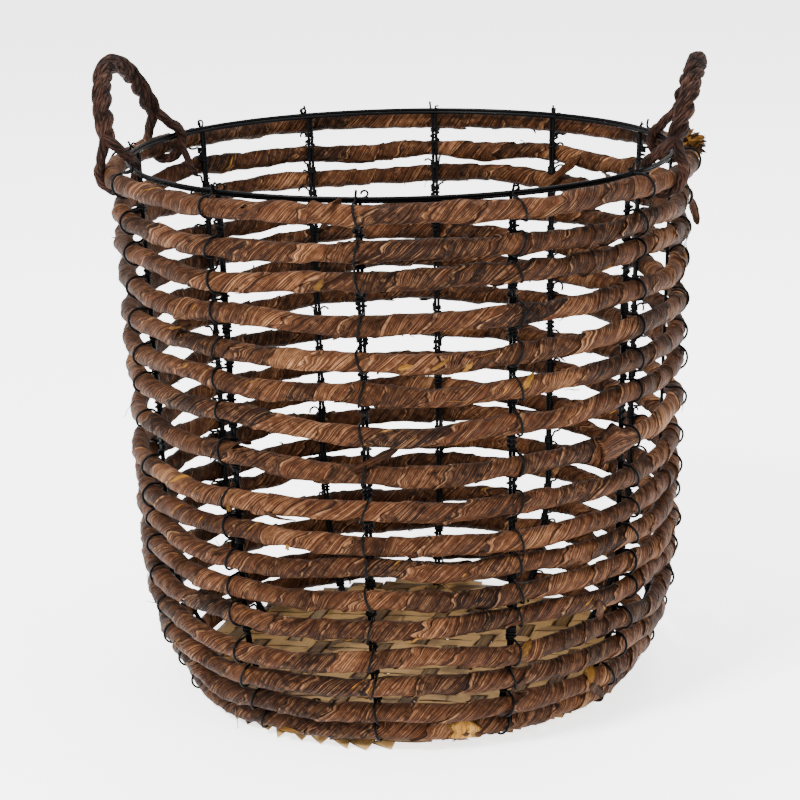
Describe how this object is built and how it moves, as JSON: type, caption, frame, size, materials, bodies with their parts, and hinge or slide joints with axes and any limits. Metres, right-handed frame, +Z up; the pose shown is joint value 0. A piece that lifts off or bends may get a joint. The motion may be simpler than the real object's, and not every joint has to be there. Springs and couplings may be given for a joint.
{
  "type": "log basket",
  "caption": "Round open-weave log basket of bark-wrapped coils tied to a black wire frame, with a plaited strip mat in its base and a twisted rope handle on each side.",
  "frame": {"origin": "centre of the footprint, on the surface that the basket stands on", "axes": "+Z up out of the mouth, handles on the X axis, right handle on +X, front at -Y"},
  "size_m": [0.4678, 0.4604, 0.4977],
  "materials": {
    "bark": "satin fibrous bark",
    "frame_wire": "satin black",
    "tie_wire": "satin black",
    "split_bamboo": "dry split bamboo",
    "rope": "coarse plant fibre"
  },
  "bodies": {
    "basket": {"rim_wire_upper": "frame_wire", "rim_wire_lower": "frame_wire", "base_ring": "frame_wire", "base_bar_upper_front": "frame_wire", "base_bar_upper_back": "frame_wire", "base_bar_lower_left": "frame_wire", "base_bar_lower_right": "frame_wire", "stave_01": "frame_wire", "stave_02": "frame_wire", "stave_03": "frame_wire", "stave_04": "frame_wire", "stave_05": "frame_wire", "stave_06": "frame_wire", "stave_07": "frame_wire", "stave_08": "frame_wire", "stave_09": "frame_wire", "stave_10": "frame_wire", "stave_11": "frame_wire", "stave_12": "frame_wire", "bark_coil_01": "bark", "bark_coil_02": "bark", "bark_coil_03": "bark", "bark_coil_04": "bark", "bark_coil_05": "bark", "bark_coil_06": "bark", "bark_coil_07": "bark", "bark_coil_08": "bark", "bark_coil_09": "bark", "bark_coil_10": "bark", "bark_coil_11": "bark", "bark_coil_12": "bark", "bark_coil_13": "bark", "bark_coil_14": "bark", "bark_coil_15": "bark", "bark_coil_16": "bark", "bark_coil_17": "bark", "tie_wire_01": "tie_wire", "tie_wire_02": "tie_wire", "tie_wire_03": "tie_wire", "tie_wire_04": "tie_wire", "tie_wire_05": "tie_wire", "tie_wire_06": "tie_wire", "tie_wire_07": "tie_wire", "tie_wire_08": "tie_wire", "tie_wire_09": "tie_wire", "tie_wire_10": "tie_wire", "tie_wire_11": "tie_wire", "tie_wire_12": "tie_wire", "mat_strips_lower": "split_bamboo", "mat_strips_upper": "split_bamboo"},
    "left_handle": {"left_handle": "rope"},
    "right_handle": {"right_handle": "rope"}
  },
  "joints": [
    {"name": "right_handle_swing", "type": "hinge", "parent": "basket", "child": "right_handle", "pos_m": [0.2055, 0, 0.4195], "axis": [0, 1, 0], "range_deg": [-96, 74]},
    {"name": "left_handle_swing", "type": "hinge", "parent": "basket", "child": "left_handle", "pos_m": [-0.2055, 0, 0.4195], "axis": [0, -1, 0], "range_deg": [-96, 74]}
  ]
}
